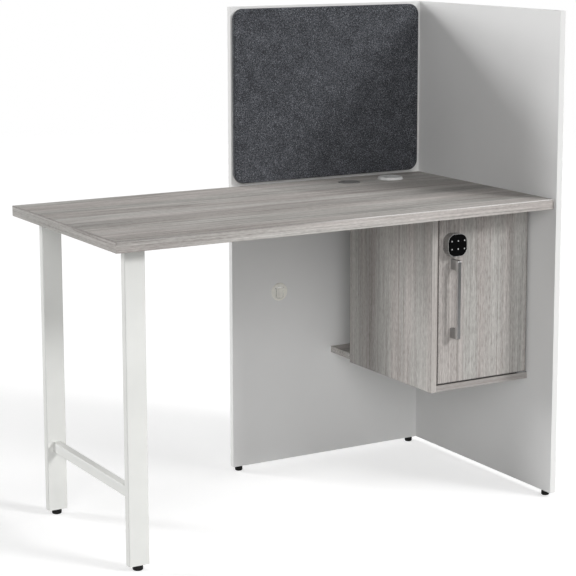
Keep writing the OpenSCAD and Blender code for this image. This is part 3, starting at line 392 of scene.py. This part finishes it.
def felt(name):
    """Charcoal heather felt: crossing fibres, light and dark flecks, a soft sheen."""
    s = Shader(name)
    turned = [s.put("VectorRotate", {"Vector": s.point, "Angle": math.radians(angle)},
                    rotation_type="Y_AXIS").outputs[0] for angle in (23.0, 74.0, -38.0)]
    hairs = [s.noise(s.stretch(v, (200.0, 520.0, 1300.0)), 1.0, 3.0, 0.6, 0.6) for v in turned]
    fibre = s.sum(*[(hair, 1.0 / 3) for hair in hairs])
    fleck = s.noise(s.point, 470.0, 3.0, 0.7)
    cloud = s.noise(s.point, 30.0, 4.0, 0.6)
    mixed = s.sum((fibre, 0.42), (fleck, 0.50), (cloud, 0.08))
    body = s.ramp(s.range(mixed, 0.437, 0.580),
                  [(0.0, (0.012, 0.013, 0.016)), (0.35, (0.036, 0.038, 0.044)),
                   (0.62, (0.064, 0.068, 0.079)), (0.85, (0.129, 0.135, 0.152)),
                   (1.0, (0.24, 0.25, 0.267))])
    # Darker rim: painted shade on the board's rounded edge.
    body = s.blend(s.edges(0.004, 0.55), body, (0.022, 0.024, 0.028))
    s.set(Base_Color=body, Specular_IOR_Level=0.18, Sheen_Weight=0.12, Sheen_Roughness=0.6,
          Roughness=s.range(fleck, 0.3, 0.7, 0.97, 0.86))
    s.bump(s.sum((fibre, 0.6), (fleck, 0.4)), 0.0006, 0.9)
    return s.mat


def board_green(name):
    """Circuit board: lighter tracks under a green mask."""
    s = Shader(name)
    tracks = s.put("TexBrick", {"Vector": s.swap("xzy"), "Scale": 260.0,
                                "Mortar Size": 0.06}).outputs[1]
    cloud = s.noise(s.point, 300.0)
    mask = s.ramp(cloud, [(0.3, (0.012, 0.075, 0.030)), (0.7, (0.020, 0.115, 0.048))])
    s.set(Base_Color=s.blend(tracks, mask, (0.035, 0.17, 0.075)),
          Roughness=s.range(cloud, 0.3, 0.7, 0.35, 0.5))
    s.bump(tracks, 0.00005)
    return s.mat


def beech(name):
    """Turned beech of the dowels."""
    s = Shader(name)
    rings = s.noise(s.stretch(s.point, (300.0, 40.0, 300.0)), 1.0, 4.0, 0.6)
    s.set(Base_Color=s.ramp(rings, [(0.3, (0.42, 0.27, 0.14)), (0.7, (0.62, 0.45, 0.27))]),
          Roughness=s.range(rings, 0.3, 0.7, 0.75, 0.6))
    s.bump(rings, 0.0002)
    return s.mat


# ---------------------------------------------------------------- boards

# The desktop's front arris carries a painted highlight from the first x to the second and beyond.
LIT_ARRIS_X = (-0.15, 0.05)
# Keeps the cut between two grain directions clear of the faces it lies on.
CLEAR = 0.0002
bottom_lo, bottom_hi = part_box("cabinet_bottom")

# Grain along x. Its tone, above the uprights', is painted light: the boards' tops lit from above.
ALONG_X = {"order": "xyz", "tone": 1.08, "weights": (0.19, 0.14, 0.49, 0.18), "half": 0.088,
           "lines": 0.15, "sway": 0.030}
# On the uprights the broad bands are painted shade: the cabinet side darker towards its back, the
# door darker at its right edge.
UPRIGHT = {"order": "zxy", "tone": 1.01, "weights": (0.09, 0.14, 0.39, 0.38), "half": 0.132,
           "lines": 0.50, "sway": 0.010,
           "bands_and_shade": [("x", 0.556, 0.040, -0.04), ("y", 0.080, 0.095, -0.23),
                      ("y", -0.100, 0.100, -0.06)]}
UPRIGHT_BAND = {"order": "zxy", "weights": (0.14, 0.16, 0.46, 0.24), "sway": 0.006}

dress(laminate("white_laminate", (0.79, 0.79, 0.785), 0.00004, 0.48), "back_panel", "side_panel")
dress(laminate("white_edge", (0.85, 0.85, 0.84), 0.00003, 0.42), "back_panel_band",
      "side_panel_band")
# The desktop's arris: a dark line on its left part, a painted highlight on its right.
dress(wood("wood_across", lit_arris=(*LIT_ARRIS_X, 0.72),
           bands_and_shade=[("y", -0.046, 0.042, -0.17), ("y", -0.144, 0.036, 0.12),
                   ("y", -0.270, 0.040, 0.06), ("y", 0.235, 0.050, -0.07),
                   ("x", -0.60, 0.45, -0.05)], **ALONG_X), "desktop")
# Painted shade on the bottom board's front strip, so the gap under the door reads dark.
dress(wood("wood_bottom", gap_shade=(bottom_lo.y + 0.011, bottom_lo.y + 0.020, 0.22), **ALONG_X),
      "cabinet_bottom")
dress(wood("wood_upright", **UPRIGHT), "cabinet_side", "cabinet_back")
# Wide dark arris lines: painted shade in the gaps round the door.
dress(wood("wood_door", arris=(0.0026, 0.85, 0.055, 0.86), **UPRIGHT), "door")
# Its top arris: a dark line on its left part, a painted highlight on its right.
dress(wood("wood_edge_across", order="xyz", tone=1.14, weights=(0.10, 0.14, 0.48, 0.28),
           half=0.125, lines=0.10, sway=0.010, arris=(0.0040, 0.90, 0.24, 0.978),
           bands_and_shade=[("x", -0.60, 0.60, -0.18)], band=True, lit_arris=(*LIT_ARRIS_X, 0.92),
           above=0.752), "desktop_band")
dress(wood("wood_edge_upright", tone=1.12, half=0.18, lines=0.10,
           arris=(0.0014, 0.35, 0.14, 0.75),
           across=(bottom_lo.x - CLEAR, bottom_hi.z + CLEAR, 0.74), **UPRIGHT_BAND),
      "cabinet_bands")
# Its arris lines darken the band's thin face: painted shade in the gaps round the door.
dress(wood("wood_edge_door", tone=1.05, half=0.13, lines=0.15,
           arris=(0.0024, 1.0, 0.030, 0.88), **UPRIGHT_BAND), "door_band")


# ---------------------------------------------------------------- metal and paint

# Heights over which the handle's front carries a painted reflection, darker towards the top.
HANDLE_Z = (0.423, 0.619)
EVEN_BRUSH = (500.0, 500.0, 500.0)

dress(paint("powder_coat", (0.80, 0.805, 0.78)), "leg_top_plate", "front_leg", "back_leg",
      "crossbar")
# The handle: light edges as a painted highlight, a painted reflection on its front, painted shade
# on the posts behind the bar.
dress(metal("satin_nickel", grey(0.79), 0.36, rim=(0.0009, 0.9, 1.03),
            front=(*HANDLE_Z, 0.48, 0.28), deep=(-0.230, -0.224, 0.66)), "handle")
# Light, nearly matt edges round the housing: a painted highlight.
dress(metal("housing_nickel", grey(0.42), 0.28, rim=(0.0013, 1.0, 2.3), rim_metallic=0.1),
      "lock_housing")
dress(metal("zinc_plate", (0.60, 0.61, 0.63), 0.34, "xyz", EVEN_BRUSH),
      "cam_bolts", "cam_discs", "corner_brackets", "desktop_screws", "pivot_brackets",
      "lock_keeper", "fitting_screws", "tackboard_clips", "tackboard_screws", "handle_screws",
      "lock_nut", "lock_spindle", "lock_cam", "lock_cam_screw")
dress(metal("brass", (0.72, 0.52, 0.25), 0.3), "panel_glide_inserts")
dress(metal("battery_steel", (0.55, 0.57, 0.62), 0.25), "lock_battery")


# ---------------------------------------------------------------- plastic and the rest

outlet_lo, outlet_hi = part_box("panel_outlet")
outlet = 0.5 * (outlet_lo + outlet_hi)
FLAP_RADIUS = 0.0195

dress(gloss("keypad_black"), "lock_face")
dress(keys("key_plastic", 0.62, 0.20), *["key_%s_%s" % (row, column)
                                         for row in ("top", "bottom")
                                         for column in ("left", "middle", "right")])
dress(plastic("white_plastic", (0.80, 0.80, 0.79), 0.38), "pivot_washer", "pivot_bushes",
      "raised_grommet_liner", "raised_grommet_cap")
dress(plastic("grey_plastic", (0.215, 0.210, 0.205), 0.42), "flat_grommet_liner",
      "flat_grommet_cap")
# Dark edges round the flap, within its radius: painted shade in the gap between flap and ring.
dress(plastic("cream_plastic", (0.88, 0.87, 0.81), 0.42, rim=(0.0018, 1.0, 0.08),
              within=(outlet.x, outlet.z, FLAP_RADIUS)), "panel_outlet", "panel_outlet_flap")
dress(plastic("black_plastic", grey(0.010), 0.55, spec=0.2), "leg_plugs", "lock_motor",
      "glide_back_left", "glide_back_right", "glide_side_front", "glide_leg_front",
      "glide_leg_back")
dress(plastic("black_rubber", grey(0.03), 0.78, 0.0001, 800.0, 0.3), "door_stops")
dress(board_green("circuit_board"), "lock_board")
dress(beech("beech"), "dowels")


# ---------------------------------------------------------------- tackboard

def rounded_loop(lo, hi, radius, y, steps=14):
    """Rounded rectangle in the XZ plane at depth y, anticlockwise from the right side."""
    points = []
    corners = [(hi.x - radius, hi.z - radius, 0), (lo.x + radius, hi.z - radius, 90),
               (lo.x + radius, lo.z + radius, 180), (hi.x - radius, lo.z + radius, 270)]
    for cx, cz, start in corners:
        for i in range(steps + 1):
            a = math.radians(start + 90.0 * i / steps)
            points.append((cx + radius * math.cos(a), y, cz + radius * math.sin(a)))
    return points


def board_profile(thickness, rim=0.0035, crease=0.0012, crown=0.0002, steps=8):
    """The tackboard's section as (inset from the outline, depth behind the front): a creased
    back edge, a rounded rim and a face that rises by the crown."""
    profile = [(crease, thickness), (0.0, thickness - crease)]
    for i in range(steps + 1):
        a = math.radians(90.0 * i / steps)
        profile.append((rim * (1 - math.cos(a)), rim * (1 - math.sin(a)) + crown))
    return profile + [(0.012, 0.5 * crown), (0.024, 0.0), (0.027, 0.0)]


def make_tackboard(corner=0.028, least=0.001):
    """Felt-covered board with round corners. least is the smallest corner radius of a loop."""
    lo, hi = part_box("tackboard")
    mesh = bmesh.new()
    loops = []
    for inset, depth in board_profile(hi.y - lo.y):
        pad = Vector((inset, 0, inset))
        ring = rounded_loop(lo + pad, hi - pad, max(corner - inset, least), lo.y + depth)
        loops.append([mesh.verts.new(p) for p in ring])
    count = len(loops[0])
    for a, b in zip(loops, loops[1:]):
        for i in range(count):
            mesh.faces.new((a[i], a[(i + 1) % count], b[(i + 1) % count], b[i]))
    mesh.faces.new(loops[-1])
    mesh.faces.new(list(reversed(loops[0])))
    bmesh.ops.recalc_face_normals(mesh, faces=mesh.faces)
    data = bpy.data.meshes.new("tackboard_felt")
    mesh.to_mesh(data)
    mesh.free()
    for face in data.polygons:
        face.use_smooth = len(face.vertices) == 4
    data.materials.append(felt("heather_felt"))
    piece = bpy.data.objects.new("tackboard_felt", data)
    scene.collection.objects.link(piece)
    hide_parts("tackboard")
    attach(piece, "workstation")


make_tackboard()


# ---------------------------------------------------------------- floor, world, lamps, camera

# Name, azimuth from -Y towards +X, elevation, share of plain light, width in degrees.
LAMPS = [("front_right", 34.0, 28.0, 0.466, 14.0), ("high_right", 45.0, 55.0, 0.287, 36.0),
         ("front_left", -30.0, 15.0, 0.330, 36.0), ("far_left", -45.0, 30.0, 0.079, 30.0),
         ("back_low", 225.0, 10.0, 0.340, 16.0), ("back_high", 220.0, 22.0, 0.343, 12.0),
         ("back_side", 255.0, 25.0, 0.040, 16.0), ("right_side", 98.0, 8.0, 0.26, 16.0)]


def ray(tree, name):
    """1 for rays of the kind named."""
    return tree.nodes.new("ShaderNodeLightPath").outputs["Is %s Ray" % name]


def make_floor(colour, glow, radius=9.0, fade=(4.0, 8.5), drop=0.0005):
    """A pale disc just below the feet, which keeps the object's shadow. It glows for the camera
    alone and fades out between the fade radii."""
    mesh = bmesh.new()
    bmesh.ops.create_circle(mesh, cap_ends=True, segments=96, radius=radius)
    data = bpy.data.meshes.new("floor")
    mesh.to_mesh(data)
    mesh.free()
    floor = bpy.data.objects.new("floor", data)
    floor.location = (0.0, 0.0, -drop)
    scene.collection.objects.link(floor)
    s = Shader("pale_floor")
    s.tree.nodes.remove(s.bsdf)
    matt = s.put("BsdfDiffuse", {"Color": (*grey(colour), 1.0)})
    light = s.put("Emission", {"Strength": s.math("MULTIPLY", ray(s.tree, "Camera"), glow)})
    both = s.put("AddShader", {0: matt.outputs[0], 1: light.outputs[0]})
    clear = s.put("BsdfTransparent")
    away = s.vector("LENGTH", s.point, out="Value")
    gone = s.put("MapRange", {0: away, 1: fade[0], 2: fade[1]},
                 interpolation_type="SMOOTHSTEP").outputs[0]
    mixed = s.put("MixShader", {0: gone, 1: both.outputs[0], 2: clear.outputs[0]})
    s.feed(s.tree.nodes["Material Output"].inputs[0], mixed.outputs[0])
    data.materials.append(s.mat)


def background(tree, level):
    node = tree.nodes.new("ShaderNodeBackground")
    node.inputs[0].default_value = (*grey(level), 1.0)
    return node.outputs[0]


def make_world(fill, studio):
    """White behind the object, a grey studio in its reflections, and a little light all round."""
    scene.world = bpy.data.worlds.new("studio")
    scene.world.use_nodes = True
    tree = scene.world.node_tree
    tree.nodes.clear()
    shade = background(tree, fill)
    for kind, level in (("Glossy", studio), ("Camera", 1.0), ("Transmission", 1.0)):
        mixed = tree.nodes.new("ShaderNodeMixShader")
        for i, source in enumerate((ray(tree, kind), shade, background(tree, level))):
            tree.links.new(source, mixed.inputs[i])
        shade = mixed.outputs[0]
    tree.links.new(shade, tree.nodes.new("ShaderNodeOutputWorld").inputs[0])


def make_sun(name, azimuth, elevation, level, width, distance=5.0):
    """A sun of the given share of plain light. Its distance is only where it stands."""
    lamp = bpy.data.lights.new(name, "SUN")
    lamp.energy = level * math.pi
    lamp.angle = math.radians(width)
    light = bpy.data.objects.new(name, lamp)
    a, e = math.radians(azimuth), math.radians(elevation)
    towards = Vector((math.sin(a) * math.cos(e), -math.cos(a) * math.cos(e), math.sin(e)))
    light.rotation_euler = towards.to_track_quat("Z", "Y").to_euler()
    light.location = towards * distance
    scene.collection.objects.link(light)


def make_camera(place, yaw, pitch, roll, focal, frame_width, shift):
    """A camera that looks along yaw, from +Y towards +X, and pitch. Angles are in degrees,
    focal and frame_width in pixels."""
    yaw, pitch, roll = (math.radians(angle) for angle in (yaw, pitch, roll))
    forward = Vector((math.sin(yaw) * math.cos(pitch), math.cos(yaw) * math.cos(pitch),
                      math.sin(pitch)))
    right = Vector((math.cos(yaw), -math.sin(yaw), 0.0))
    up = right.cross(forward)
    right, up = (right * math.cos(roll) + up * math.sin(roll),
                 up * math.cos(roll) - right * math.sin(roll))
    data = bpy.data.cameras.new("camera")
    data.sensor_width = 36.0
    data.lens = focal / frame_width * data.sensor_width
    data.shift_y = shift
    data.clip_end = 100.0
    camera = bpy.data.objects.new("camera", data)
    turn = Matrix((right, up, -forward)).transposed().to_4x4()
    camera.matrix_world = Matrix.Translation(place) @ turn
    scene.collection.objects.link(camera)
    scene.camera = camera


make_floor(colour=0.62, glow=0.55)
make_world(fill=0.004, studio=0.30)
for lamp in LAMPS:
    make_sun(*lamp)
# The photograph's camera, fitted to its straight edges for a small lens shift.
make_camera(place=(-2.217055, -3.807358, 1.442832), yaw=30.2141, pitch=-9.3462, roll=-0.1274,
            focal=1830.1211, frame_width=576.0, shift=-0.12)
scene.view_settings.view_transform = "Standard"
